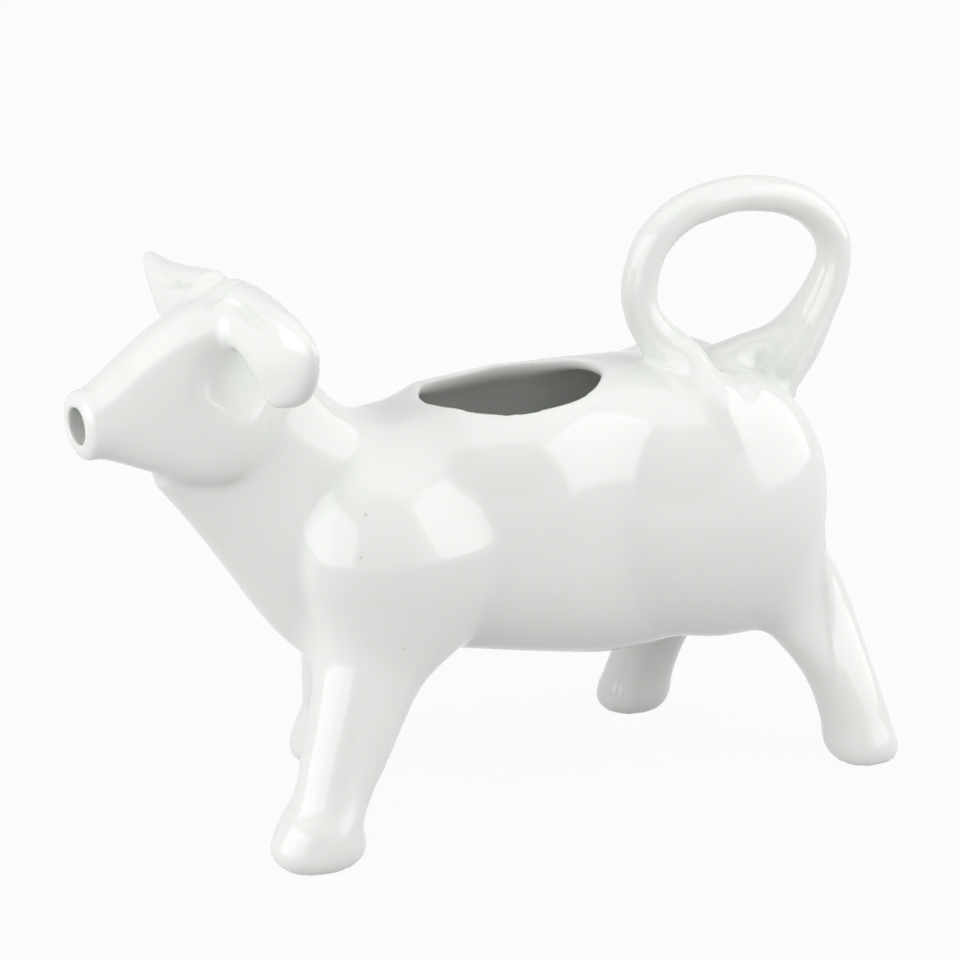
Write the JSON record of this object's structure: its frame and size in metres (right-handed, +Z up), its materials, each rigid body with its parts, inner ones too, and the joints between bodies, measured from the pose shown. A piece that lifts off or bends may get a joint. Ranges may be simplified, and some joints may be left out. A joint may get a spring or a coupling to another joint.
{
  "type": "cow creamer",
  "caption": "White glazed porcelain milk jug in the form of a walking cow, with an oval filling hole in the back, a spout through the muzzle and a looped tail as handle.",
  "frame": {"origin": "middle of the jug's footprint on the table, midway between muzzle and left rear hoof", "axes": "+Z up; the head looks along -X; the cow's left flank faces -Y"},
  "size_m": [0.1715, 0.0692, 0.122],
  "materials": {
    "glaze": "glossy clear glaze over white porcelain"
  },
  "bodies": {
    "root": {"body_shell": "glaze", "head": "glaze", "left_ear": "glaze", "right_ear": "glaze", "tail_handle": "glaze", "front_left_leg": "glaze", "front_right_leg": "glaze", "rear_left_leg": "glaze", "rear_right_leg": "glaze", "udder": "glaze"}
  },
  "joints": []
}
